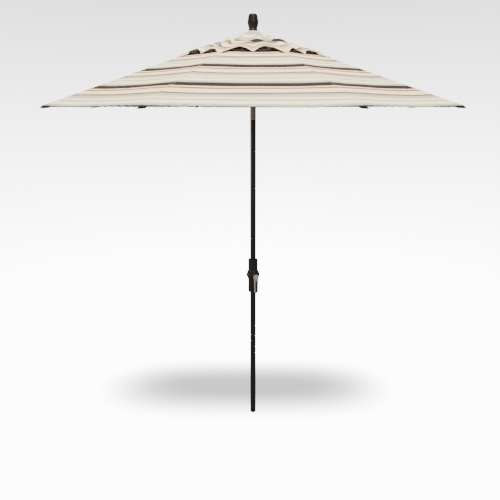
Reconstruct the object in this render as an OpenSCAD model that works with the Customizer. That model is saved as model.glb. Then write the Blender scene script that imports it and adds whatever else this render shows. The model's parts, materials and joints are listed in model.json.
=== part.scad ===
// Market umbrella: a two-piece pole with a crank lift, a collar-driven tilt joint and an
// eight-rib octagonal canopy with a vent cap. It is drawn open and upright.
// Frame: millimetres, +Z up, origin at the centre of the pole's lower end.
// The tilt leans the head towards +X. Ribs stand at 22.5 degrees and every 45 degrees on.

/* [Canopy] */
// Radius of the hem's eight corners
canopy_r = 1280; // [1240:5:1300]
// Height of the hem above the pole's lower end
hem_z = 2094; // [2090:1:2098]
// Rise from the hem to where the ribs' lines meet
canopy_rise = 481; // [476:1:486]
// Thickness of the fabric's envelope
cloth_t = 2.5; // [2:0.1:3]
// Radius of the corners of the opening under the vent cap
vent_r = 405; // [390:5:460]
// Radius of the vent cap's eight corners
cap_r = 516; // [500:2:550]

/* [Ribs and struts] */
// Radius of the circle of rib pivots on the top hub
hub_r = 50; // [50:1:52]
// Rib width, across the hinge
rib_w = 12; // [10:0.5:12]
// Rib height
rib_h = 18; // [16:0.5:18]
// Wall of the rib and strut tubes
tube_t = 1.2; // [1:0.1:1.5]
// Distance along the rib from its pivot to the strut bracket
strut_at = 540; // [535:1:545]
// Drop of the strut pin below the rib's centreline
strut_drop = 18; // [17.5:0.5:19]
// Strut width, across the hinge
strut_w = 11; // [9:0.5:11]
// Strut height
strut_h = 14; // [12:0.5:14]
// Radius of the circle of strut pivots on the runner
runner_r = 40; // [39:0.5:41]
// Height of the strut pivots when the umbrella is open
runner_z = 2166; // [2164:1:2170]

/* [Pole] */
// Outer diameter of the pole tubes
pole_d = 38.1; // [38.1:0.1:38.4]
// Wall of the pole tubes
pole_t = 1.5; // [1.2:0.1:1.6]
// Height at which the lower tube enters the upper one
split_z = 800; // [780:5:820]
// Length of the lower tube's reduced neck
neck_len = 62; // [60:1:64]
// Height of the snap button
button_z = 835; // [832:1:838]
// Height at which the tilt collar starts
collar_z = 2010; // [2005:1:2015]
// Height of the collar
collar_h = 83; // [80:1:83]
// Height of the tilt hinge above the pole's lower end
tilt_z = 2118; // [2118:0.5:2120]

/* [Crank] */
// Height of the crank's axis
crank_z = 972; // [970:1:976]
// Turn of the crank towards +X, in degrees, from straight ahead at -Y
crank_az = 23; // [0:1:40]
// Lower end of the crank housing
house_z = 861; // [858:1:863]
// Height of the crank housing
house_h = 222; // [218:0.5:232]
// Radius of the housing's straight parts
house_r = 32; // [31:0.5:33]
// How far the housing swells out around the crank's shaft
bulge = 13; // [12:0.5:13]
// Height of the middle of the swelling
bulge_z = 978; // [976:1:980]
// Length of the crank arm from its axis to its lower end
arm_len = 104; // [100:1:108]
// Width of the crank arm at its hub
arm_w = 29; // [27:0.5:30]

/* [Finial] */
// Height of the finial's seat
finial_z = 2578; // [2577.5:0.5:2582]
// Largest radius of the finial
finial_r = 35.2; // [33:0.1:36]
// Height of the finial
finial_h = 104; // [100:1:110]

/* [Hidden] */
$fn = 64;
ribs = 8;
half_step = 180 / ribs;
slope = atan(canopy_rise / canopy_r);
rib_under = 10;                      // from the rib's centreline to the fabric, square to the rib
hub_z = hem_z + (canopy_r - hub_r) * tan(slope) - rib_under / cos(slope);
rib_tip = 42;                        // length of the cap past the rib's outer end
rib_len = (canopy_r + 4 - hub_r) / cos(slope) - rib_tip;
pole_r = pole_d / 2;
bore_r = pole_r - pole_t;
tube_edge = 0.6;                     // chamfer where the two pole tubes meet
run_gap = 0.05;                      // radial clearance of every running fit

// Strut pin on the rib and strut pivot on the runner, in the rib's own plane
pin_x = hub_r + strut_at * cos(slope) - strut_drop * sin(slope);
pin_z = hub_z - strut_at * sin(slope) - strut_drop * cos(slope);
strut_len = norm([pin_x - runner_r, pin_z - runner_z]);
strut_tilt = atan2(pin_z - runner_z, pin_x - runner_r);

// Hub, runner and head
hub_sleeve_r = 28;
hub_low = hub_z - 12;
hub_top = hub_z + 5;
flange_r = 60;
runner_bore = 20;
runner_sleeve_r = 27.5;
runner_low = runner_z - 18;
runner_top = runner_z + 38;
flange_low = runner_z - 11;
flange_top = runner_z + 9;
pin_r = 2.5;
trunnion_r = 2.95;
trunnion_half = 9.5;
head_low = tilt_z + 14;
tube_low = tilt_z + 22;
tube_top = hub_z + 10;

// Pulley and lift cord
cord_r = 1.5;
pulley_r = 12;
pulley_z = hub_z - 30;
fall_x = 2 * pulley_r;

// Tilt joint: the link's two pivots, on the nut and on the head
socket_r = 16.9;
socket_bore = 13;
socket_top = tilt_z - 14;
ring_z = collar_z + collar_h + 0.4;
ring_h = 12.2;
collar_r = 19.3;
link_x = -9;
link_len = 48;
nut_pin_z = tilt_z - link_len;
fork_in = 10;
cheek_in = 4.5;
cheek_out = 9.7;
tilt_pin_r = 3;

// Crank
shaft_r = 5;
wall = 2.6;
shell_top = house_z + house_h;
arm_in = house_r + bulge + 2;        // back face of the arm
arm_t = 12;
hub_disc_r = 18;
arm_end_w = 22;
arm_corner = 4;
grip_w = 12;
grip_len = 68;
grip_pin_z = crank_z - arm_len + 4;
grip_y = arm_in + 8.8;
barrel_r = 6;
drum_half = 9;
winding_r = 12.5;
screw_x = 24.3;
screw_rise = [22, 202];

// ---- Helpers ----

// Places a rib's own frame: origin at its hub pivot, +X out along the rib, Y along the hinge
module at_rib(k) {
  rotate([0, 0, half_step + (k - 1) * 2 * half_step])
    translate([hub_r, 0, hub_z])
      rotate([0, slope, 0]) children();
}

// Turns the crank's own frame, in which the crank faces -Y, to where it stands on the pole
module at_crank() {
  rotate([0, 0, crank_az]) children();
}

// A round bar along Y, centred
module bar_y(r, l) {
  rotate([90, 0, 0]) cylinder(r = r, h = l, center = true);
}

// A round bar along Y from y0 to y1
module bar_from(r, y0, y1) {
  translate([0, y1, 0]) rotate([90, 0, 0]) cylinder(r = r, h = y1 - y0);
}

// A ring standing on z0
module ring(r_out, r_in, z0, h) {
  translate([0, 0, z0]) difference() {
    cylinder(r = r_out, h = h);
    translate([0, 0, -1]) cylinder(r = r_in, h = h + 2);
  }
}

// A straight cord between two points
module cord(a, b) {
  d = b - a;
  translate(a)
    rotate([0, acos(d[2] / norm(d)), atan2(d[1], d[0])])
      cylinder(r = cord_r, h = norm(d));
}

// A sheet in the shape of an eight-sided cone, from corner radius r0 out to r1
module cloth_cone(r0, r1, z0, z1) {
  rotate([0, 0, half_step]) difference() {
    translate([0, 0, z1]) cylinder(r1 = r1, r2 = r0, h = z0 - z1, $fn = ribs);
    translate([0, 0, z1 - cloth_t]) cylinder(r1 = r1, r2 = r0, h = z0 - z1, $fn = ribs);
    translate([0, 0, z1 - 1]) cylinder(r = r0, h = z0 - z1 + 2, $fn = ribs);
  }
}

// A wire swept along a helix about Y: point i of n, and the closed skin over its rings
function helix_at(i, n, turns, r, len) =
  let (a = 360 * turns * i / n) [r * cos(a), len * i / n, r * sin(a)];
function wire_ring(i, n, turns, r, len, wire, sides) =
  let (a = 360 * turns * i / n, p = helix_at(i, n, turns, r, len))
  [for (j = [0 : sides - 1]) let (b = 360 * j / sides, q = wire * cos(b))
    p + [q * cos(a), wire * sin(b), q * sin(a)]];
module helix_wire(n, turns, r, len, wire, sides) {
  points = [for (i = [0 : n]) each wire_ring(i, n, turns, r, len, wire, sides)];
  skin = [for (i = [0 : n - 1], j = [0 : sides - 1]) let (a = i * sides, b = (j + 1) % sides)
    [a + j, a + b, a + sides + b, a + sides + j]];
  ends = [[for (j = [sides - 1 : -1 : 0]) j], [for (j = [0 : sides - 1]) n * sides + j]];
  polyhedron(points, concat(skin, ends));
}

// ---- Ribs, struts and their fittings ----

module rib() {
  color("#2b1d16") difference() {
    union() {
      bar_y(rib_h / 2, rib_w);
      translate([0, -rib_w / 2, -rib_h / 2]) cube([rib_len, rib_w, rib_h]);
    }
    translate([30, -rib_w / 2 + tube_t, -rib_h / 2 + tube_t])
      cube([rib_len, rib_w - 2 * tube_t, rib_h - 2 * tube_t]);
    bar_y(pin_r + run_gap, rib_w + 2);
    translate([strut_at, 0, 0]) bar_y(pin_r, rib_w + 2);
  }
}

// Bracket under the rib with its rivet and strut pin, and the cap on the rib's outer end.
// The cap's underside rises to a thin tip, level with the hem when the canopy is open.
module rib_fittings() {
  side = rib_w / 2;
  cap_half = rib_h / 2;
  color("#241a15") difference() {
    union() {
      for (s = [-1, 1]) translate([strut_at, s * (side + 1), 0]) {
        translate([-11, -1, -strut_drop]) cube([22, 2, strut_drop + 5]);
        translate([0, 0, -strut_drop]) bar_y(7, 2);
      }
      translate([strut_at - 11, -side - 1, -rib_h / 2 - 1.5]) cube([22, rib_w + 2, 1.5]);
    }
    translate([strut_at, 0, 0]) bar_y(pin_r, 40);
    translate([strut_at, 0, -strut_drop]) bar_y(pin_r, 40);
  }
  color("#8b857e") for (drop = [0, strut_drop]) translate([strut_at, 0, -drop]) {
    bar_y(pin_r, rib_w + 4);
    for (s = [-1, 1]) translate([0, s * (side + 2.5), 0]) bar_y(3.6, 1);
  }
  color("#17120f") {
    rotate([90, 0, 0]) translate([rib_len, 0, -side]) linear_extrude(rib_w) polygon(
      [[0, -cap_half], [2, -cap_half], [rib_tip, cap_half - 4.5], [rib_tip, cap_half], [0, cap_half]]);
    translate([rib_len - 20, -side + tube_t, -rib_h / 2 + tube_t])
      cube([20, rib_w - 2 * tube_t, rib_h - 2 * tube_t]);
  }
}

// Strut, from its pin under the rib back to its trunnions on the runner
module strut() {
  color("#2b1d16") difference() {
    union() {
      bar_y(strut_h / 2, strut_w);
      translate([strut_len, 0, 0]) {
        bar_y(strut_h / 2, strut_w);
        bar_y(trunnion_r, 2 * trunnion_half);
      }
      translate([0, -strut_w / 2, -strut_h / 2]) cube([strut_len, strut_w, strut_h]);
    }
    translate([22, -strut_w / 2 + tube_t, -strut_h / 2 + tube_t])
      cube([strut_len - 44, strut_w - 2 * tube_t, strut_h - 2 * tube_t]);
    bar_y(pin_r + run_gap, strut_w + 2);
  }
}

module at_strut(k) {
  rotate([0, 0, half_step + (k - 1) * 2 * half_step])
    translate([pin_x, 0, pin_z])
      rotate([0, 180 - strut_tilt, 0]) children();
}

// ---- Canopy ----

module canopy() {
  color("#e8dccb")
    cloth_cone(vent_r, canopy_r + 1, hem_z + (canopy_r - vent_r) * tan(slope) + cloth_t,
      hem_z - tan(slope) + cloth_t);
}

module vent_cap() {
  low = hem_z + (canopy_r - cap_r) * tan(slope) + 2 * cloth_t + 1;
  color("#efe6d8")
    cloth_cone(10, cap_r, finial_z - 0.5 - 10 * (finial_z - low) / cap_r, low);
}

module finial() {
  r = finial_r;
  h = finial_h;
  outline = [[0, -4], [11, -4], [0.81 * r, 0], [0.83 * r, 0.04 * h], [0.7 * r, 0.11 * h],
    [0.86 * r, 0.22 * h], [r, 0.45 * h], [0.92 * r, 0.63 * h], [0.85 * r, 0.8 * h],
    [0.78 * r, 0.91 * h], [0.62 * r, 0.98 * h], [0, h]];
  color("#241a15") {
    translate([0, 0, finial_z]) rotate_extrude() polygon(outline);
    translate([0, 0, finial_z - 14]) cylinder(r = 4, h = 15);
  }
}

// ---- Head: hub, pulley, upper pole and runner ----

module top_hub() {
  color("#1d1512") difference() {
    union() {
      translate([0, 0, hub_low]) cylinder(r = hub_sleeve_r, h = tube_top + 6 - hub_low);
      translate([0, 0, hub_low]) cylinder(r = flange_r, h = hub_top - hub_low);
      translate([0, 0, tube_top]) cylinder(r = 12, h = finial_z - 9 - tube_top);
    }
    translate([0, 0, hub_low - 1]) cylinder(r = pole_r, h = tube_top - hub_low + 1);
    translate([0, 0, finial_z - 14]) cylinder(r = 4, h = 20);
    for (k = [1 : ribs]) rotate([0, 0, half_step + (k - 1) * 2 * half_step]) {
      translate([hub_r - rib_h / 2 - 1.5, -rib_w / 2 - 0.3, hub_low - 1])
        cube([40, rib_w + 0.6, 30]);
      translate([hub_r, 0, hub_z]) bar_y(pin_r, 24);
    }
  }
}

module hub_pins() {
  color("#8b857e") for (k = [1 : ribs]) rotate([0, 0, half_step + (k - 1) * 2 * half_step])
    translate([hub_r, 0, hub_z]) bar_y(pin_r, 24);
}

module pulley() {
  color("#cfc8bd") translate([pulley_r, 0, pulley_z]) difference() {
    rotate([90, 0, 0]) rotate_extrude() difference() {
      translate([2 + run_gap, -3.2]) square([pulley_r - run_gap, 6.4]);
      translate([pulley_r, 0]) circle(r = cord_r + 0.3);
      translate([pulley_r, -cord_r - 0.3]) square([5, 2 * cord_r + 0.6]);
    }
  }
}

module pulley_pin() {
  color("#8b857e") translate([pulley_r, 0, pulley_z]) bar_y(2, 2 * 14);
}

module upper_pole() {
  color("#2a1b14") difference() {
    ring(pole_r, bore_r, tube_low, tube_top - tube_low);
    translate([pulley_r, 0, pulley_z]) bar_y(2, 60);
    translate([0, -3.8, pulley_z - 16]) cube([40, 7.6, 32]);
  }
}

module runner() {
  color("#1d1512") difference() {
    union() {
      ring(runner_sleeve_r, runner_bore, runner_low, runner_top - runner_low);
      ring(runner_r + 10, runner_bore, flange_low, flange_top - flange_low);
    }
    for (k = [1 : ribs]) rotate([0, 0, half_step + (k - 1) * 2 * half_step]) {
      translate([runner_r - strut_h / 2 - 1.5, -strut_w / 2 - 0.3, flange_low - 1])
        cube([40, strut_w + 0.6, 40]);
      translate([runner_r, 0, runner_z]) bar_y(trunnion_r + run_gap, 2 * trunnion_half + 0.4);
    }
  }
}

// ---- Tilt joint ----

// Upper half of the hinge: a plug in the upper pole over two inner cheeks
module tilt_head() {
  color("#1d1512") difference() {
    union() {
      translate([0, 0, head_low]) cylinder(r = pole_r, h = tube_low - head_low);
      translate([0, 0, tube_low]) cylinder(r = bore_r, h = 30);
      for (s = [-1, 1]) translate([0, s * (cheek_in + cheek_out) / 2, 0]) {
        translate([0, 0, tilt_z]) bar_y(13.6, cheek_out - cheek_in);
        translate([-11, -(cheek_out - cheek_in) / 2, tilt_z])
          cube([22, cheek_out - cheek_in, head_low - tilt_z + 1]);
      }
      translate([link_x, 0, tilt_z]) bar_y(1.5, 2 * cheek_in + 1);
    }
    translate([0, 0, head_low - 1]) cylinder(r = 5, h = 60);
    translate([0, 0, tilt_z]) bar_y(tilt_pin_r, 40);
  }
}

module tilt_pins() {
  color("#8b857e") for (s = [-1, 1]) translate([0, s * 10.6, tilt_z]) bar_y(tilt_pin_r, 12);
}

// Lower half of the hinge: a tube that plugs into the pole under two outer cheeks
module tilt_socket() {
  color("#1d1512") difference() {
    union() {
      ring(bore_r, socket_bore, collar_z - 35, 35);
      ring(socket_r, socket_bore, collar_z, socket_top - collar_z);
      intersection() {
        cylinder(r = socket_r, h = 3000);
        for (s = [-1, 1]) translate([0, s * (fork_in + 4), 0]) {
          translate([0, 0, tilt_z]) bar_y(12, 8);
          translate([-12, -4, socket_top - 12]) cube([24, 8, 26]);
        }
      }
    }
    translate([0, 0, tilt_z]) bar_y(tilt_pin_r + run_gap, 60);
  }
}

module collar_ring() {
  color("#0f0c0b") ring(collar_r, socket_r, ring_z, socket_top - ring_z + 1.2);
}

// Ribbed twist sleeve around the socket
module tilt_collar() {
  color("#7d6f68") difference() {
    ring(collar_r, socket_r + 0.25, collar_z + 0.2, collar_h);
    for (i = [0 : 23]) rotate([0, 0, 15 * i])
      translate([collar_r + 0.55, 0, collar_z + 12]) cylinder(r = 1, h = collar_h - 24);
  }
}

// Nut that the collar drives up, with a clevis for the link
module collar_nut() {
  color("#b9a26a") {
    ring(socket_bore - run_gap, 5.5, nut_pin_z - 16, 12);
    for (s = [-1, 1]) translate([link_x - 1.9, s * 3.4 - 1, nut_pin_z - 5]) cube([3.8, 2, 7.5]);
    translate([link_x, 0, nut_pin_z]) bar_y(1.5, 5.8);
  }
}

module tilt_link() {
  color("#8b857e") difference() {
    union() {
      translate([link_x, 0, tilt_z]) bar_y(3.6, 4);
      translate([link_x, 0, nut_pin_z]) bar_y(3, 4);
      translate([link_x - 2, -2, nut_pin_z]) cube([4, 4, link_len]);
    }
    translate([link_x, 0, tilt_z]) bar_y(2, 6);
    translate([link_x, 0, nut_pin_z]) bar_y(1.5 + run_gap, 6);
  }
}

// ---- Pole ----

module middle_pole() {
  color("#2a1b14") difference() {
    union() {
      translate([0, 0, split_z]) cylinder(r1 = pole_r - tube_edge, r2 = pole_r, h = tube_edge);
      translate([0, 0, split_z + tube_edge])
        cylinder(r = pole_r, h = collar_z - split_z - tube_edge);
    }
    translate([0, 0, split_z - 1]) cylinder(r = bore_r, h = collar_z - split_z + 2);
    at_crank() translate([0, 0, crank_z]) bar_y(shaft_r + 1.5, 80);
    translate([0, 10, button_z]) bar_from(4.2, 0, 20);
  }
}

module lower_pole() {
  neck_r = bore_r - 0.15;
  color("#2a1b14") difference() {
    union() {
      cylinder(r = pole_r, h = split_z - tube_edge);
      translate([0, 0, split_z - tube_edge])
        cylinder(r1 = pole_r, r2 = pole_r - tube_edge, h = tube_edge);
      translate([0, 0, split_z - 1]) cylinder(r = neck_r, h = neck_len + 1);
    }
    translate([0, 0, -1]) cylinder(r = bore_r, h = split_z - 30);
    translate([0, 0, -1]) cylinder(r = neck_r - pole_t, h = split_z + neck_len + 2);
    translate([0, 10, button_z]) bar_from(4.2, 0, 20);
  }
}

module foot_plug() {
  color("#151110") ring(bore_r, 8, 0, 25);
}

module snap_button() {
  color("#8b857e") translate([0, 0, button_z]) {
    bar_from(4, 14, 22.5);
    bar_from(5.6, 13, 14.8);
  }
}

// Bent leaf that pushes the button out
module snap_spring() {
  color("#8b857e") translate([-4, 0, button_z]) rotate([90, 0, 90]) linear_extrude(8)
    polygon([[-15.4, -14], [-14.4, -14], [12.6, 6], [12.6, 22], [11.6, 22], [11.6, 6.6],
      [-15.4, -13]]);
}

// ---- Crank ----

// Outer radius of the housing at height z: straight, with one round swelling
function shell_r(z) =
  let (t = (z - bulge_z) / 39) house_r + (abs(t) < 1 ? bulge * pow(cos(90 * t), 2) : 0);

module half_shell() {
  steps = 12;
  outer = [for (i = [0 : steps]) let (z = bulge_z - 39 + 78 * i / steps) [shell_r(z), z]];
  inner = [for (i = [steps : -1 : 0]) [outer[i][0] - wall, outer[i][1]]];
  rotate_extrude(angle = 180) polygon(concat(
    [[pole_r + 0.1, house_z], [house_r - 1.5, house_z], [house_r, house_z + 3]],
    outer,
    [[house_r, shell_top - 3], [house_r - 2, shell_top], [pole_r + 0.1, shell_top],
      [pole_r + 0.1, shell_top - wall], [house_r - wall, shell_top - wall - 1]],
    inner,
    [[house_r - wall, house_z + wall + 1], [pole_r + 0.1, house_z + wall]]));
}

// Bosses that the screws draw together, y0 and y1 being their ends
module bosses(r, y0, y1) {
  for (x = [-screw_x, screw_x], rise = screw_rise) translate([x, 0, house_z + rise])
    bar_from(r, y0, y1);
}

module crank_housing_front() {
  color("#1f1814") at_crank() difference() {
    union() {
      rotate([0, 0, 180]) half_shell();
      bosses(4, -17, 0);
    }
    bosses(1.5, -13, 1);
    translate([0, 0, crank_z]) bar_from(8, -60, 0);
  }
}

module crank_housing_rear() {
  color("#1f1814") at_crank() difference() {
    union() {
      half_shell();
      bosses(4.6, 0, 19);
    }
    bosses(1.6, -1, 20);
    bosses(3.5, 14, 30);
    translate([0, 0, crank_z]) bar_from(8, 0, 60);
  }
}

module housing_screws() {
  color("#8b857e") at_crank() {
    bosses(1.5, -12, 15);
    bosses(3.4, 14, 16.5);
  }
}

// Two bearings for the crank's shaft, an open one in front and a closed one at the back
module shaft_bushes() {
  color("#1f1814") at_crank() translate([0, 0, crank_z]) difference() {
    union() {
      bar_from(8, -arm_in + 1, -27);
      bar_from(8, 24, house_r + bulge + 0.5);
    }
    bar_from(shaft_r + run_gap, -60, 36.5);
  }
}

// Wrap spring that keeps the shaft from running back
module brake_spring() {
  color("#8b857e") at_crank() translate([0, 20.6, crank_z])
    helix_wire(66, 2.2, shaft_r + 1, 2.4, 0.55, 8);
}

module crank_shaft() {
  color("#b5ada1") at_crank() translate([0, 0, crank_z]) bar_from(shaft_r, -arm_in - 9, 36);
}

module cord_drum() {
  color("#d8d2c4") at_crank() translate([0, 0, crank_z]) difference() {
    union() {
      bar_from(winding_r - 3.5, -drum_half, drum_half);
      for (s = [-1, 1]) translate([0, s * (drum_half - 0.7), 0]) bar_y(14.5, 1.4);
    }
    bar_from(shaft_r, -20, 20);
  }
}

module cord_winding() {
  color("#e6e1d6") at_crank() translate([0, 0, crank_z]) difference() {
    bar_y(winding_r, 2 * (drum_half - 1.4));
    bar_y(winding_r - 3.5, 40);
  }
}

// Crank arm with a slot that the folded grip lies in
module crank_arm() {
  end_z = crank_z - arm_len;
  low_half = arm_end_w / 2;
  color("#b5ada1") at_crank() difference() {
    union() {
      translate([0, 0, crank_z]) bar_from(hub_disc_r, -arm_in - arm_t, -arm_in);
      translate([0, -arm_in, 0]) rotate([90, 0, 0]) linear_extrude(arm_t) polygon([
        [-arm_w / 2, crank_z], [arm_w / 2, crank_z], [low_half, end_z + arm_corner],
        [low_half - arm_corner, end_z], [arm_corner - low_half, end_z],
        [-low_half, end_z + arm_corner]]);
    }
    translate([0, 0, crank_z]) bar_from(shaft_r, -arm_in - 9, 0);
    translate([-grip_w / 2 - 0.5, -arm_in - 20, end_z - 5])
      cube([grip_w + 1, 17.5, grip_len + 25]);
    translate([0, -grip_y, grip_pin_z]) rotate([0, 90, 0])
      cylinder(r = 2, h = 60, center = true);
  }
}

// Folding grip, lying in the arm and hinged near its lower end
module crank_grip() {
  color("#4a4340") at_crank() translate([0, -grip_y, grip_pin_z]) difference() {
    union() {
      translate([-grip_w / 2, 0, 0]) rotate([0, 90, 0]) cylinder(r = barrel_r, h = grip_w);
      translate([-grip_w / 2, -4.5, 0]) cube([grip_w, 9, grip_len - 6]);
      translate([0, 0, grip_len - 6]) bar_y(grip_w / 2, 9);
    }
    rotate([0, 90, 0]) cylinder(r = 2 + run_gap, h = 60, center = true);
  }
}

module grip_pin() {
  color("#8b857e") at_crank() translate([0, -grip_y, grip_pin_z]) rotate([0, 90, 0])
    cylinder(r = 2, h = arm_end_w - 2, center = true);
}

// ---- Lift cord: drum to tilt hinge, hinge to pulley, and the fall to the runner ----

module lift_cord_lower() {
  start = winding_r + cord_r + 0.3;
  color("#e6e1d6") cord(
    [start * cos(crank_az), start * sin(crank_az), crank_z + 2], [0, 0, tilt_z - 1]);
}

module lift_cord_upper() {
  color("#e6e1d6") {
    cord([0, 0, tilt_z + 1], [0, 0, pulley_z]);
    translate([pulley_r, 0, pulley_z]) rotate([90, 0, 0])
      rotate_extrude(angle = 180) translate([pulley_r, 0]) circle(r = cord_r);
  }
}

module lift_cord_fall() {
  color("#e6e1d6") cord([fall_x, 0, runner_top + 0.3], [fall_x, 0, pulley_z]);
}

at_rib(1) rib();  // rib_1
at_rib(2) rib();  // rib_2
at_rib(3) rib();  // rib_3
at_rib(4) rib();  // rib_4
at_rib(5) rib();  // rib_5
at_rib(6) rib();  // rib_6
at_rib(7) rib();  // rib_7
at_rib(8) rib();  // rib_8
at_rib(1) rib_fittings();  // rib_fittings_1
at_rib(2) rib_fittings();  // rib_fittings_2
at_rib(3) rib_fittings();  // rib_fittings_3
at_rib(4) rib_fittings();  // rib_fittings_4
at_rib(5) rib_fittings();  // rib_fittings_5
at_rib(6) rib_fittings();  // rib_fittings_6
at_rib(7) rib_fittings();  // rib_fittings_7
at_rib(8) rib_fittings();  // rib_fittings_8
at_strut(1) strut();  // strut_1
at_strut(2) strut();  // strut_2
at_strut(3) strut();  // strut_3
at_strut(4) strut();  // strut_4
at_strut(5) strut();  // strut_5
at_strut(6) strut();  // strut_6
at_strut(7) strut();  // strut_7
at_strut(8) strut();  // strut_8
canopy();
vent_cap();
finial();
top_hub();
hub_pins();
pulley();
pulley_pin();
upper_pole();
runner();
tilt_head();
tilt_pins();
tilt_socket();
collar_ring();
tilt_collar();
collar_nut();
tilt_link();
middle_pole();
lower_pole();
foot_plug();
snap_button();
snap_spring();
crank_housing_front();
crank_housing_rear();
housing_screws();
shaft_bushes();
brake_spring();
crank_shaft();
cord_drum();
cord_winding();
crank_arm();
crank_grip();
grip_pin();
lift_cord_lower();
lift_cord_upper();
lift_cord_fall();
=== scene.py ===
import bmesh
import bpy
import json
import math
import numpy as np
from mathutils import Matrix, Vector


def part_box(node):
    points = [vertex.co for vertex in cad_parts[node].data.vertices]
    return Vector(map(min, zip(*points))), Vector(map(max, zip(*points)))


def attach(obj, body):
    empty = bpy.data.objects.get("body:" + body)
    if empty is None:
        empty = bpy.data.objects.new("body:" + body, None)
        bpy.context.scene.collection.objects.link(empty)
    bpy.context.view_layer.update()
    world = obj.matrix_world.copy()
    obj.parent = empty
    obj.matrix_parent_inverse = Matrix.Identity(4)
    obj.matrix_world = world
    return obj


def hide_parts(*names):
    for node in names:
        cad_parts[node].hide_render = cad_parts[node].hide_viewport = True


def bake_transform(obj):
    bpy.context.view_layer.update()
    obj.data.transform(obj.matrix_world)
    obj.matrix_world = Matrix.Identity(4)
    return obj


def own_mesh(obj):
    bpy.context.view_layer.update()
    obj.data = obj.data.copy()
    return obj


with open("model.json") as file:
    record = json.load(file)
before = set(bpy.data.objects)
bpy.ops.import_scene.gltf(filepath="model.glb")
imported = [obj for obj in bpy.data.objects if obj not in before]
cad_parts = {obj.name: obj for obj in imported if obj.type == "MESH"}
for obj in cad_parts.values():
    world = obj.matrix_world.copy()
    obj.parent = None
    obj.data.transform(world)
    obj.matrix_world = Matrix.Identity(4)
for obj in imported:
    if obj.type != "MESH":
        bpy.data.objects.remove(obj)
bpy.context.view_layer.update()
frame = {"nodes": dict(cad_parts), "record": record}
print("frame loaded:", len(frame["nodes"]), "nodes")

ribCount = 8
halfStep = math.pi / ribCount


def lit(red, green, blue):  # a colour as a screen shows it, turned into linear light
    shares = [c / 255 for c in (red, green, blue)]
    return tuple(((c + 0.055) / 1.055) ** 2.4 if c > 0.04045 else c / 12.92 for c in shares) + (1,)


def smoothStep(x, low, high):  # 0 below low, 1 above high, with a smooth s between them
    t = np.clip((x - low) / (high - low), 0, 1)
    return t * t * (3 - 2 * t)


def turned(points, angle):  # points turned about the z axis
    c, s = math.cos(angle), math.sin(angle)
    x, y, z = points[..., 0], points[..., 1], points[..., 2]
    return np.stack([c * x - s * y, s * x + c * y, z], axis=-1)


def rounded(points, radius, steps=4):
    # an open outline whose inner corners become quadratic curves that start and end at radius from the corner
    points = [np.array(p, float) for p in points]
    line = [points[0]]
    for before, corner, after in zip(points, points[1:], points[2:]):
        a, b = before - corner, after - corner
        cut = min(radius, 0.45 * np.linalg.norm(a), 0.45 * np.linalg.norm(b))
        start, end = corner + a / np.linalg.norm(a) * cut, corner + b / np.linalg.norm(b) * cut
        for t in np.linspace(0, 1, steps + 1):
            line.append((1 - t) ** 2 * start + 2 * t * (1 - t) * corner + t * t * end)
    return np.array(line + [points[-1]])


def gridMesh(name, grid, wrap=False, startCap=False, endCap=False, uv=None, fields=None, sharp=40):
    # grid holds rows x columns of points; wrap joins the last column to the first, and a cap closes the first
    # or the last row
    rows, cols = grid.shape[:2]
    index = np.arange(rows * cols).reshape(rows, cols)
    right = np.roll(index, -1, axis=1) if wrap else index[:, 1:]
    left = index if wrap else index[:, :-1]
    quads = np.stack([left[:-1], right[:-1], right[1:], left[1:]], axis=-1).reshape(-1, 4)
    faces = quads.tolist()
    if startCap:
        faces.append(index[0][::-1].tolist())
    if endCap:
        faces.append(index[-1].tolist())
    mesh = bpy.data.meshes.new(name)
    mesh.from_pydata(grid.reshape(-1, 3).tolist(), [], faces)
    if uv is not None:
        layer = mesh.uv_layers.new(name="clothUv")
        corner = np.zeros(len(mesh.loops), np.int32)
        mesh.loops.foreach_get("vertex_index", corner)
        layer.data.foreach_set("uv", uv.reshape(-1, 2)[corner].astype(np.float32).ravel())
    for key, values in (fields or {}).items():
        mesh.attributes.new(key, "FLOAT", "POINT").data.foreach_set("value", values.astype(np.float32).ravel())
    return finishMesh(name, mesh, sharp)


def finishMesh(name, mesh, sharp):
    mesh.polygons.foreach_set("use_smooth", np.ones(len(mesh.polygons), bool))
    mesh.set_sharp_from_angle(angle=math.radians(sharp))
    piece = bpy.data.objects.new(name, mesh)
    bpy.context.scene.collection.objects.link(piece)
    return piece


def lathe(name, outline, steps, ripple=None, sharp=40):
    # outline points (radius, height) turned about z; ripple(angle, radius, height) scales the radius
    angle = np.linspace(0, 2 * math.pi, steps, endpoint=False)
    radius, height = outline[:, 0][:, None], outline[:, 1][:, None] + 0 * angle
    swell = ripple(angle[None, :], radius, height) if ripple else 1
    grid = np.stack([radius * swell * np.cos(angle), radius * swell * np.sin(angle), height], axis=-1)
    return gridMesh(name, grid, wrap=True, startCap=outline[0][0] > 0, endCap=outline[-1][0] > 0, sharp=sharp)


def softened(node, width):
    # a merged copy of a CAD node with its flat faces joined and its edges rounded; it stands for the node
    mesh = frame["nodes"][node].data.copy()
    work = bmesh.new()
    work.from_mesh(mesh)
    bmesh.ops.remove_doubles(work, verts=work.verts, dist=2e-6)
    bmesh.ops.dissolve_limit(work, angle_limit=math.radians(1.5), verts=work.verts, edges=work.edges)
    work.to_mesh(mesh)
    work.free()
    mesh.materials.clear()
    piece = finishMesh(node + "_finished", mesh, 32)
    bevel = piece.modifiers.new("edges", "BEVEL")
    bevel.width, bevel.segments = width, 2
    bevel.limit_method, bevel.angle_limit = "ANGLE", math.radians(32)
    bevel.use_clamp_overlap = True
    return piece


def setUp(piece, body, material, nodes):  # material, body, slot and the nodes it stands for
    piece.data.materials.clear()
    piece.data.materials.append(material)
    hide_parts(*nodes)
    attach(piece, body)
    return piece


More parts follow.
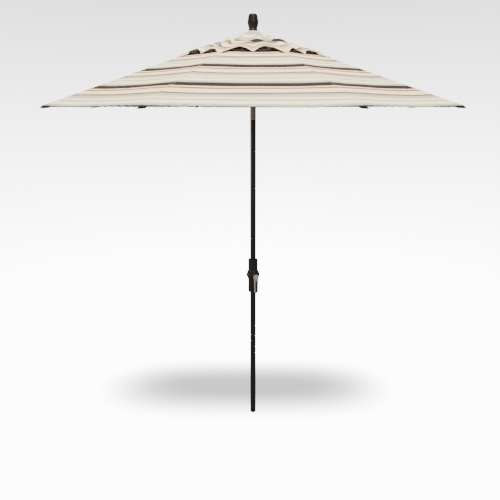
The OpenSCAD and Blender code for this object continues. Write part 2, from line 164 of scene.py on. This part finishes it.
class Wire:
    # a node's output that can be used in Python sums; each sum adds a Math node, and a comparison gives 0 or 1
    def __init__(self, paint, socket):
        self.paint, self.socket = paint, socket

    def math(self, operation, *others):
        return self.paint.node("ShaderNodeMath", {"operation": operation}, [self, *others])

    def __add__(self, other): return self.math("ADD", other)
    def __sub__(self, other): return self.math("SUBTRACT", other)
    def __mul__(self, other): return self.math("MULTIPLY", other)
    def __gt__(self, other): return self.math("GREATER_THAN", other)
    def __lt__(self, other): return self.math("LESS_THAN", other)


class Paint:
    # a material with one Principled shader, whose constant sockets are set by name
    def __init__(self, name, **constants):
        self.material = bpy.data.materials.new(name)
        self.material.use_nodes = True
        self.tree = self.material.node_tree
        self.shader = self.tree.nodes["Principled BSDF"]
        for socket, value in constants.items():
            self.shader.inputs[socket.replace("_", " ")].default_value = value

    def node(self, kind, settings=None, inputs=(), out=0):
        made = self.tree.nodes.new(kind)
        for key, value in (settings or {}).items():
            if key == "stops":
                ramp = made.color_ramp
                while len(ramp.elements) < len(value):
                    ramp.elements.new(0.5)
                for element, (position, colour) in zip(ramp.elements, value):
                    element.position = position
                for element, (position, colour) in zip(ramp.elements, value):
                    element.color = colour
            elif key == "interpolation":
                made.color_ramp.interpolation = value
            else:
                setattr(made, key, value)
        pairs = inputs.items() if isinstance(inputs, dict) else enumerate(inputs)
        for key, value in pairs:
            if isinstance(value, Wire):
                self.tree.links.new(value.socket, made.inputs[key])
            elif value is not None:
                made.inputs[key].default_value = value
        return Wire(self, made.outputs[out])

    def mix(self, factor, a, b, blend="MIX"):
        settings = {"data_type": "RGBA", "blend_type": blend}
        return self.node("ShaderNodeMix", settings, {0: factor, 6: a, 7: b}, out=2)

    def feed(self, **wires):
        for socket, wire in wires.items():
            self.tree.links.new(wire.socket, self.shader.inputs[socket.replace("_", " ")])
        return self.material

    def bump(self, height, strength, distance):
        return self.node("ShaderNodeBump", {}, {"Strength": strength, "Distance": distance, "Height": height})

    def place(self):
        return self.node("ShaderNodeTexCoord", {}, [], out=3)

    def noise(self, at, scale, detail=3.0, rough=0.5):
        inputs = {"Vector": at, "Scale": scale, "Detail": detail, "Roughness": rough}
        return self.node("ShaderNodeTexNoise", {}, inputs)

    def field(self, name):
        return self.node("ShaderNodeAttribute", {"attribute_name": name}, [], out=2)


def darker(colour, share):
    return tuple(c * share for c in colour[:3]) + (1,)


def coatedMetal(name, colour, rough=0.38, grain=900.0, shine=0.5):
    # powder coat: fine orange peel, faint cloudy colour, small scuffs a little lighter than the rest
    paint = Paint(name, Metallic=0.0, IOR=1.5, Specular_IOR_Level=shine)
    at = paint.place()
    cloud = paint.noise(at, 9.0, 4.0, 0.6)
    peel = paint.noise(at, grain, 2.0)
    scuff = paint.noise(at, 60.0, 5.0, 0.7)
    tone = paint.mix(cloud, darker(colour, 0.82), darker(colour, 1.22))
    tone = paint.mix((scuff > 0.68) * 0.25, tone, darker(colour, 2.2))
    return paint.feed(Base_Color=tone, Roughness=cloud * 0.12 + peel * 0.08 + (rough - 0.1),
                      Normal=paint.bump(peel, 0.12, 0.0004))


def mouldedPlastic(name, colour, rough=0.5, grain=1400.0):
    # moulded nylon: spark-eroded grain, a slight sheen change and handling marks
    paint = Paint(name, Metallic=0.0, IOR=1.46)
    at = paint.place()
    pits = paint.node("ShaderNodeTexVoronoi", {}, {"Vector": at, "Scale": grain})
    cloud = paint.noise(at, 22.0, 4.0, 0.55)
    rub = paint.noise(at, 130.0, 5.0, 0.75)
    tone = paint.mix(cloud, darker(colour, 0.8), darker(colour, 1.3))
    tone = paint.mix((rub > 0.66) * 0.3, tone, darker(colour, 1.9))
    return paint.feed(Base_Color=tone, Roughness=cloud * 0.14 + rub * 0.08 + (rough - 0.1),
                      Normal=paint.bump(pits, 0.25, 0.0003))


def bareMetal(name, colour, rough=0.3, stretch=(1, 1, 1), metallic=1.0):
    # brushed or cast metal: streaks along one direction, small dents, tarnish in the clouds
    paint = Paint(name, Metallic=metallic)
    at = paint.place()
    along = paint.node("ShaderNodeVectorMath", {"operation": "MULTIPLY"}, [at, stretch])
    streak = paint.noise(along, 1200.0, 2.0)
    cloud = paint.noise(at, 45.0, 5.0, 0.65)
    tone = paint.mix(cloud, darker(colour, 0.62), darker(colour, 1.12))
    return paint.feed(Base_Color=tone, Roughness=streak * 0.14 + cloud * 0.16 + (rough - 0.12),
                      Normal=paint.bump(streak, 0.08, 0.0003))


stripes = dict(
    charcoal=(0.02, 0.018, 0.018), cream=(0.92, 0.61, 0.38), tan=(0.20, 0.135, 0.09), peach=(0.93, 0.74, 0.44),
    brownLine=(0.14, 0.12, 0.10), mist=(0.42, 0.40, 0.31), linen=(0.60, 0.55, 0.38), white=(0.94, 0.92, 0.68),
    sand=(0.50, 0.44, 0.30), shell=(0.88, 0.80, 0.49), ivory=(0.90, 0.84, 0.53), sage=(0.46, 0.50, 0.40),
    slate=(0.30, 0.33, 0.29))
stripeOrder = [  # where each band of the repeat starts, from the middle of one dark stripe to the next
    (0.0, "charcoal"), (0.078, "cream"), (0.13, "tan"), (0.195, "peach"), (0.36, "brownLine"), (0.42, "mist"),
    (0.50, "linen"), (0.575, "white"), (0.63, "sand"), (0.69, "shell"), (0.745, "ivory"), (0.82, "sage"),
    (0.88, "slate"), (0.917, "charcoal")]


def parts(paint, vector):  # the three parts of a vector as wires
    split = paint.node("ShaderNodeSeparateXYZ", {}, [vector]).socket.node
    return [Wire(paint, output) for output in split.outputs]


def clothMaterial(name):
    # striped canvas: the field "stripe" counts repeats; the map clothUv is in metres, for weave and stitches
    paint = Paint(name, Roughness=0.85, Sheen_Weight=0.04, Sheen_Roughness=0.5, Specular_IOR_Level=0.08)
    uv = paint.node("ShaderNodeUVMap", {"uv_map": "clothUv"})
    across, along = parts(paint, uv)[:2]
    ragged = paint.noise(uv, 700.0, 2.0) - 0.5
    repeat = (paint.field("stripe") + ragged * 0.006).math("FRACT")
    stops = [(at, stripes[key] + (1,)) for at, key in stripeOrder]
    colour = paint.node("ShaderNodeValToRGB", {"interpolation": "CONSTANT", "stops": stops}, [repeat])
    warp = (across * 2800.0).math("SINE") * 0.5 + 0.5
    weft = (along * 2800.0).math("SINE") * 0.5 + 0.5
    threads = warp * weft
    drawnOut = paint.node("ShaderNodeVectorMath", {"operation": "MULTIPLY"}, [uv, (25, 900, 1)])
    slub = paint.node("ShaderNodeTexNoise", {}, {"Vector": drawnOut, "Scale": 1.0})
    cloud = paint.noise(uv, 6.0, 4.0, 0.6)
    colour = paint.mix(threads * 0.10, colour, (0.55, 0.50, 0.45, 1), "MULTIPLY")
    colour = paint.mix((slub - 0.4) * 0.35, colour, (1, 0.985, 0.95, 1), "SOFT_LIGHT")
    colour = paint.mix(cloud * 0.10, colour, (0.80, 0.76, 0.70, 1), "MULTIPLY")
    seam = paint.field("seam")                   # metres from the rib's seam
    hem = paint.field("hem")                     # metres from the hem's edge
    seamLine = stitchLine(seam, 0.0045, along) + stitchLine(hem, 0.018, across)
    # painted shade: a thin dark line along the hem's fold and along the fold beside each seam, where the turned
    # cloth shades itself; the same mask also sinks a groove in the bump
    foldShadeAndGroove = ((hem - 0.0202).math("ABSOLUTE") < 0.0009) + ((seam - 0.0072).math("ABSOLUTE") < 0.0007)
    # the painted shade darkens the cloth along both fold lines
    colour = paint.mix(foldShadeAndGroove.math("MINIMUM", 1.0) * 0.45, colour, (0.42, 0.37, 0.31, 1), "MULTIPLY")
    colour = paint.mix(seamLine.math("MINIMUM", 1.0) * 0.8, colour, darker(stripes["sand"], 0.8))
    height = threads * 0.5 + slub * 0.3 + seamLine * 0.6 - foldShadeAndGroove * 0.8
    return paint.feed(Base_Color=colour, Roughness=cloud * 0.08 + 0.8, Normal=paint.bump(height, 0.35, 0.0004))


def stitchLine(distance, offset, along):  # a dashed thread at one distance from an edge, 5 mm to a stitch
    near = (distance - offset).math("ABSOLUTE") < 0.0007
    dash = (along * 200.0).math("FRACT") < 0.68
    return near * dash


materials = {
    "pole": coatedMetal("poleCoat", lit(30, 21, 18), 0.33),
    "rib_steel": coatedMetal("ribCoat", lit(44, 33, 27), 0.4),
    "housing": mouldedPlastic("housingNylon", lit(30, 25, 22), 0.42),
    "black_plastic": mouldedPlastic("blackNylon", lit(24, 21, 20), 0.45),
    "collar": mouldedPlastic("collarGrip", lit(150, 134, 124), 0.55),
    "crank_metal": bareMetal("crankPewter", lit(232, 222, 214), 0.46, (1, 1, 0.06), 0.4),
    "bright_metal": bareMetal("zincPlate", lit(190, 186, 180), 0.3),
    "brass": bareMetal("turnedBrass", lit(206, 178, 118), 0.3),
    "white_plastic": mouldedPlastic("acetal", lit(226, 220, 206), 0.4),
    "cord": mouldedPlastic("cordBraid", lit(222, 216, 202), 0.8, 700.0),
    "finial": coatedMetal("finialLacquer", lit(24, 17, 15), 0.42, 500.0, 0.22),
    "grip": mouldedPlastic("gripNylon", lit(60, 52, 49), 0.5),
}
canopyCloth = clothMaterial("canopyCloth")
print("materials made")


view = dict(distance=3.519, height=2.096, pitch=7.0, lens=38.88, shiftX=-0.006, shiftY=-0.1542)
camera = bpy.data.cameras.new("camera")
camera.lens, camera.sensor_width = view["lens"], 36
camera.shift_x, camera.shift_y = view["shiftX"], view["shiftY"]
cameraObject = bpy.data.objects.new("camera", camera)
cameraObject.location = (0, -view["distance"], view["height"])
cameraObject.rotation_euler = (math.radians(90 - view["pitch"]), 0, 0)
bpy.context.scene.collection.objects.link(cameraObject)
bpy.context.scene.camera = cameraObject


def areaLight(name, at, target, size, power, colour=(1, 1, 1)):
    lamp = bpy.data.lights.new(name, "AREA")
    lamp.shape, lamp.size, lamp.energy, lamp.color = "DISK", size, power, colour
    thing = bpy.data.objects.new(name, lamp)
    thing.location = at
    direction = np.array(at, float) - np.array(target, float)
    flat = math.hypot(direction[0], direction[1])
    thing.rotation_euler = (math.atan2(flat, direction[2]), 0, math.atan2(direction[0], -direction[1]))
    bpy.context.scene.collection.objects.link(thing)


lights = dict(sky=1500, front=75, side=60, warm=(1.0, 0.91, 0.77))
areaLight("skyPanel", (0, -1.6, 8.0), (0, 0.1, 2.2), 6.0, lights["sky"], lights["warm"])
areaLight("frontPanel", (1.5, -5.6, 3.4), (0, 0, 1.5), 1.6, lights["front"])
areaLight("sidePanel", (-5.0, -1.5, 1.6), (0, 0, 1.4), 1.5, lights["side"])
world = bpy.data.worlds.new("studio")
world.use_nodes = True
world.node_tree.nodes["Background"].inputs["Color"].default_value = (0.95, 0.93, 0.90, 1)
world.node_tree.nodes["Background"].inputs["Strength"].default_value = 0.35
bpy.context.scene.world = world

# a round bowl of paper: a flat floor, curved up into a wall all the way round
backdrop = dict(radius=13.0, height=9.0, curve=4.0)
bowl = [(0.001, 0), (backdrop["radius"], 0), (backdrop["radius"], backdrop["height"])]
sweep = rounded(bowl, backdrop["curve"], 24)
floor = lathe("studioFloor", sweep[::-1], 96, sharp=180)
floor.visible_diffuse = floor.visible_glossy = False         # the paper glows for the camera only
paperGlow = 20.0                                             # strength of its light, taken out of its colour
floorPaint = Paint("studioPaper", Base_Color=(0.02, 0.02, 0.02, 1), Roughness=0.9, Specular_IOR_Level=0.0,
                   Emission_Strength=paperGlow)
across, away, up = parts(floorPaint, floorPaint.place())
# the paper dims as it rises above the eye line of someone standing where the camera does, all the way round
radial = (across.math("POWER", 2.0) + away.math("POWER", 2.0)).math("SQRT")
rising = (up - view["height"]).math("DIVIDE", radial + view["distance"])
# the glow is a power of two, from stopsLow far below the eye line to stopsHigh far above it
stopsLow, stopsHigh = 3.7, 1.25
glow = floorPaint.node("ShaderNodeMapRange", {}, [rising, -0.29, 0.19, stopsLow, stopsHigh])
# the painted soft shadow on the paper: its middle, its half sizes in metres and its depth in powers of two
pool = dict(left=-0.05, behind=0.337, halfWidth=0.861, halfDepth=0.27, depth=3.5)
reach = (((across - pool["left"]) * (1 / pool["halfWidth"])).math("POWER", 4.0)
         + ((away - pool["behind"]) * (1 / pool["halfDepth"])).math("POWER", 2.0)).math("SQRT")
smooth = {"interpolation_type": "SMOOTHSTEP"}
shade = floorPaint.node("ShaderNodeMapRange", smooth, [reach, 0.2, 1.8, pool["depth"], 0.0])
onFloor = up < 0.01
light = floorPaint.node("ShaderNodeMath", {"operation": "POWER"}, [2.0, glow - shade * onFloor])
floor.data.materials.append(floorPaint.feed(Emission_Color=light * (1 / paperGlow)))
print("camera, light and floor made")


canopyBox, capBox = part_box("canopy"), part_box("vent_cap")
canopy = dict(
    ventCorner=0.405,        # radius of the corners of the opening under the cap, in metres
    clothEnvelope=0.0025,    # thickness of the CAD envelope
    thickness=0.0012,
    rows=96, halfCols=34,
    hemFold=0.020,           # width of the hem that is turned under
    hemCut=0.0095,           # how far the hem is cut in between the ribs, as a share of the corner's radius
    sag=0.007,               # how far a panel's middle hangs below its flat plane at the hem
    ripple=0.0016,           # height of the slow waves across a panel, in metres
    pull=0.0014,             # height of the short waves along the hem
    seamLift=0.0007, hemLift=0.0006,
    keep=0.085,              # share of a gore's width left when it is folded
    firstDark=0.554, secondDark=0.775, thirdDark=1.0095)
cornerR = canopyBox[1][0] / math.cos(halfStep)
rise = (canopyBox[1][2] - canopyBox[0][2] - canopy["clothEnvelope"]) / (cornerR - canopy["ventCorner"])
hemZ = canopyBox[0][2] + canopy["clothEnvelope"] / 2
slant = math.hypot(1, rise) * cornerR            # length of a rib's line from the axis to the corner


def stripeCount(s):
    # number of repeats at a share s of the slant: a quadratic through the three dark stripes
    a, b, c = canopy["firstDark"], canopy["secondDark"], canopy["thirdDark"]
    return (s - a) * (s - c) / ((b - a) * (b - c)) + 2 * (s - a) * (s - b) / ((c - a) * (c - b))


def goreParameters(rowCount, halfCols):
    # v runs from -1 to 1 across the gore, crowded near the rib; u runs from 0 to 1 down it
    side = np.linspace(0, 1, halfCols + 1) ** 1.6
    v = np.concatenate([-side[:0:-1], side])
    return np.meshgrid(np.linspace(0, 1, rowCount), v, indexing="ij")


def panelPoint(corner, v, height):
    # a point of an eight-sided cone, in the rib's frame: straight from the rib's corner to the panel's middle
    share = np.abs(v)
    x = corner * (1 - share) + corner * share * math.cos(halfStep) ** 2
    y = corner * share * math.cos(halfStep) * math.sin(halfStep) * np.sign(v)
    return np.stack([x, y, height], axis=-1)


def clothShell(piece):  # a sheet's thickness, without walls along its edges, so neighbouring gores meet unseen
    cloth = piece.modifiers.new("cloth", "SOLIDIFY")
    cloth.thickness, cloth.offset, cloth.use_rim = canopy["thickness"], 0, False
    return piece


def turnedEdge(rowCount, halfCols, width):
    # the first rows run down the sheet, from 0 to 1; four more turn under the edge and run back by width
    u, v = goreParameters(rowCount + 4, halfCols)
    down = np.linspace(0, 1, rowCount)
    tail = [(0.0006, -0.0008), (0.0002, -0.0018), (-0.4 * width, -0.0019), (-width, -0.0019)]
    run = np.concatenate([down, np.ones(4)])[:, None] + 0 * v
    past = np.concatenate([0 * down, [t[0] for t in tail]])[:, None] + 0 * v
    under = np.concatenate([0 * down, [t[1] for t in tail]])[:, None] + 0 * v
    return run, v, past, under


def canopyGore(k):
    # s, the share of the slant, runs from the vent's edge to the hem, which is cut in between the ribs, and back
    # under it; height falls along the slant, less a sag that is greatest in the panel's middle, plus ripples and
    # the thickness of the seam and the hem
    u, v, past, under = turnedEdge(canopy["rows"], canopy["halfCols"], canopy["hemFold"])
    inner = canopy["ventCorner"] / cornerR
    hemLine = 1 - canopy["hemCut"] * (1 - (1 - np.abs(v)) ** 3.2)
    s = inner + (hemLine - inner) * u + past / slant
    corner = s * cornerR
    acrossM = corner * np.abs(v) * math.sin(halfStep)
    azimuth = halfStep + k * 2 * halfStep + v * halfStep
    sag = canopy["sag"] * (0.35 + 0.65 * s) * (1 - (1 - np.abs(v)) ** 2)
    ease = smoothStep(s, inner, inner + 0.12)
    still = np.sin(math.pi * np.abs(v)) ** 2           # zero, and level, at the ribs and at the panel's middle
    ripple = canopy["ripple"] * np.sin(5 * azimuth + 31 * s) * still * ease
    pull = canopy["pull"] * np.sin(46 * np.abs(v) + 9 * s) * smoothStep(s, 0.9, 1.0) * still
    seamLift = canopy["seamLift"] * np.exp(-(acrossM / 0.0075) ** 6)
    hemDistance = (hemLine - s) * slant
    hemLift = canopy["hemLift"] * (hemDistance < canopy["hemFold"]) * (u < 1)
    height = hemZ + (cornerR - corner) * rise - sag + ripple + pull + seamLift + hemLift + under
    points = turned(panelPoint(corner, v, height), halfStep + k * 2 * halfStep)
    uv = np.stack([acrossM * np.sign(v), s * slant], axis=-1)
    wander = 0.006 * np.sin(3 * azimuth + 2) + 0.004 * np.sin(11 * azimuth + 7 * s)
    fields = {"stripe": stripeCount(s) + wander * (0.4 + s), "seam": acrossM, "hem": hemDistance}
    return clothShell(gridMesh(f"canopy_gore_{k + 1}", points, uv=uv, fields=fields, sharp=180))


def goreSheet(piece):
    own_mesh(piece)


goreWidth = 2 * cornerR * math.sin(halfStep)
ventShare = canopy["ventCorner"] / cornerR
goreArea = 0.5 * goreWidth * slant * (1 - ventShare ** 2) + goreWidth * canopy["hemFold"]
for k in range(ribCount):
    gore = setUp(canopyGore(k), f"rib_{k + 1}", canopyCloth, ["canopy"])
    goreSheet(gore)
print("canopy made")


cap = dict(
    inner=0.055,             # radius where the gores start, under the crown patch
    crown=0.078,             # radius of the crown patch under the finial
    rows=60, halfCols=28,
    corner=0.400,            # share of the canopy's slant at the tacks on the ribs
    middle=0.364,            # the same at the tacks in the middle of each panel
    scallop=0.040,           # how far the edge is cut back between two tacks
    lift=0.019,              # how far the edge stands off the canopy between tacks, in metres
    billow=0.006,            # how far the cap swells halfway down
    ringFolds=0.0052, downFolds=0.0022, looseFolds=0.0042,
    binding=0.008,
    bindingLift=0.0008,
    keep=0.16,               # share of a gore's width left when it is folded
    dark=0.196,              # share of the slant at the dark stripe
    repeat=0.255)
capCorner = capBox[1][0] / math.cos(halfStep)
capTopZ = capBox[1][2] - 0.0012


def capWrinkle(azimuth, s):
    # folds that run round the cap near its top and down it near its edge, the same on both sides of every seam
    ring = cap["ringFolds"] * np.sin(88 * s + 2.2 * np.sin(2 * azimuth + 0.6) + 0.8)
    ring = ring * smoothStep(s, 0.05, 0.1) * (1 - smoothStep(s, 0.2, 0.33))
    down = cap["downFolds"] * np.sin(24 * azimuth + 14 * np.sin(3 * s)) * smoothStep(s, 0.2, 0.34)
    loose = cap["looseFolds"] * np.sin(5 * azimuth + 22 * s + 1.1) * smoothStep(s, 0.08, 0.2)
    return ring + down + loose


def capEdge(v):
    # share of the slant at the cap's edge: a straight run from tack to tack, cut back between them
    share = np.abs(v)
    tackLine = cap["corner"] + (cap["middle"] - cap["corner"]) * share
    return tackLine - cap["scallop"] * np.sin(math.pi * share) ** 0.9


def capHeight(s, v, azimuth):
    # a straight line from the crown to the canopy's surface at the edge, lifted between tacks and wrinkled
    edge = capEdge(v)
    share = np.clip(s / edge, 0, 1)
    ground = hemZ + cornerR * (1 - edge) * rise + 0.0028
    between = np.sin(math.pi * np.abs(v))
    lift = cap["lift"] * between * smoothStep(share, 0.5, 1.0)
    belly = cap["billow"] * np.sin(math.pi * share)
    pinned = 1 - smoothStep(share, 0.93, 1.0) * (1 - between)
    wrinkle = capWrinkle(azimuth, s) * pinned * smoothStep(share, 0.06, 0.3)
    return capTopZ + (ground - capTopZ) * share + lift + belly + wrinkle


def capGore(k):
    # like the canopy's gore, with its edge cut back between the tacks at each rib and each panel's middle
    u, v, past, under = turnedEdge(cap["rows"], cap["halfCols"], cap["binding"])
    edge = capEdge(v)
    inner = cap["inner"] / cornerR
    s = inner + (edge - inner) * u + past / slant
    corner = s * cornerR
    azimuth = halfStep + k * 2 * halfStep + v * halfStep
    edgeDistance = (edge - s) * slant
    bound = cap["bindingLift"] * (edgeDistance < cap["binding"]) * (u < 1)
    height = capHeight(s, v, azimuth) + bound + under
    points = turned(panelPoint(corner, v, height), halfStep + k * 2 * halfStep)
    acrossM = corner * np.abs(v) * math.sin(halfStep)
    uv = np.stack([acrossM * np.sign(v), s * slant], axis=-1)
    drift = 0.05 * np.sin(2 * azimuth + 1.2) + 0.04 * np.sin(9 * azimuth + 12 * s)
    stripe = (s - cap["dark"]) / cap["repeat"] + drift + 4 * capWrinkle(azimuth, s)
    fields = {"stripe": stripe, "seam": acrossM, "hem": edgeDistance}
    return clothShell(gridMesh(f"vent_cap_gore_{k + 1}", points, uv=uv, fields=fields, sharp=180))


capWidth = 2 * capCorner * math.sin(halfStep)
capLength = capCorner * math.hypot(1, rise)
capArea = 0.5 * capWidth * capLength * 0.97
for k in range(ribCount):
    gore = setUp(capGore(k), f"rib_{k + 1}", canopyCloth, ["vent_cap"])
    goreSheet(gore)

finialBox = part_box("finial")
finial = dict(
    reach=finialBox[1][0],   # radius at its widest, in metres
    height=0.104,            # from its seat on the cap to its top
    flutes=10, depth=0.012,  # depth is a share of the radius
    # shares of reach and height: the screwed foot, the flange, the neck, the bulb and its flat top
    outline=[(0, -0.037), (0.31, -0.037), (0.81, 0), (0.83, 0.04), (0.7, 0.11), (0.86, 0.22), (1, 0.45),
             (0.92, 0.63), (0.85, 0.8), (0.78, 0.91), (0.62, 0.98), (0, 1)])
seatZ = finialBox[1][2] - finial["height"]


def crownPatch():
    # a round piece of the same cloth that closes the cap under the finial: the cap's own height just above the
    # gores, bunched up towards the middle by a smooth bump, and never higher than the finial's sloping foot
    angle = np.linspace(0, 2 * math.pi, 97)[:-1]
    ring, azimuth = np.meshgrid(np.linspace(0.008, cap["crown"], 18), angle, indexing="ij")
    v = np.mod(azimuth, 2 * halfStep) / halfStep - 1
    puff = 0.009 * (1 - smoothStep(ring, 0.018, 0.06))
    foot = seatZ - 0.0048 + 0.004 * np.clip((ring - 0.011) / 0.0175, 0, 1) + 0.1 * (ring > 0.0285)
    height = np.minimum(capHeight(ring / math.cos(halfStep) / cornerR, v, azimuth) + 0.0022 + puff, foot)
    points = np.stack([ring * np.cos(azimuth), ring * np.sin(azimuth), height], axis=-1)
    fields = {"stripe": 0.45 + 0 * ring, "seam": 0.05 + 0 * ring, "hem": cap["crown"] - ring + 0.001}
    patch = gridMesh("vent_cap_crown", points, wrap=True, uv=points[..., :2], fields=fields, sharp=180)
    cloth = patch.modifiers.new("cloth", "SOLIDIFY")
    cloth.thickness, cloth.offset = canopy["thickness"], 0
    return patch


crown = setUp(crownPatch(), "mast_head", canopyCloth, ["vent_cap"])
print("vent cap made")


def flutes(angle, radius, height):  # the radius dips a little between the flutes, over the bulb only
    share = (height - seatZ) / finial["height"]
    bulb = smoothStep(share, 0.15, 0.3) * (1 - smoothStep(share, 0.85, 0.95))
    return 1 - finial["depth"] * (0.5 - 0.5 * np.cos(finial["flutes"] * angle)) * bulb


profile = rounded(finial["outline"], 0.09, 7) * [finial["reach"] * 0.998, finial["height"]] + [0, seatZ]
profile[0, 0] = profile[-1, 0] = 0.0005
finialPiece = lathe("finial_turned", profile, 120, ripple=flutes, sharp=50)
setUp(finialPiece, "mast_head", materials["finial"], ["finial"])
print("finial made")


slotOf = {part["node"]: part["material_slot"] for part in frame["record"]["subparts"]}
bodyOf = {node: body for body, group in frame["record"]["behaviour"]["bodies"].items() for node in group}
edgeWidth = dict(            # how wide the rounded edges of each hard piece are, in metres
    crank_arm=0.0012, crank_grip=0.0012, top_hub=0.0008, runner=0.0008, tilt_head=0.0004, tilt_socket=0.0004,
    collar_ring=0.0008, tilt_collar=0.0005, snap_spring=0.0002)
finished = {}
for node, width in edgeWidth.items():
    slot = slotOf[node]
    finished[node] = setUp(softened(node, width), bodyOf[node], materials[slot], [node])
# the leaf spring, which flattens when its button is pressed, gets a mesh of its own here; the low corner of its
# box is read from the CAD part
spring, springFoot = finished["snap_spring"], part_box("snap_spring")[0]
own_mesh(spring)
# the cord, which stretches as the runner comes down, is a rounded copy of the CAD part with its place baked into
# its mesh
fall = softened("lift_cord_fall", 0.0001)
fall.data.materials.append(materials["cord"])
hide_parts("lift_cord_fall")
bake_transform(fall)
for node, thing in frame["nodes"].items():
    if slotOf[node] in materials:
        thing.data.materials.clear()
        thing.data.materials.append(materials[slotOf[node]])
print("finishes set")
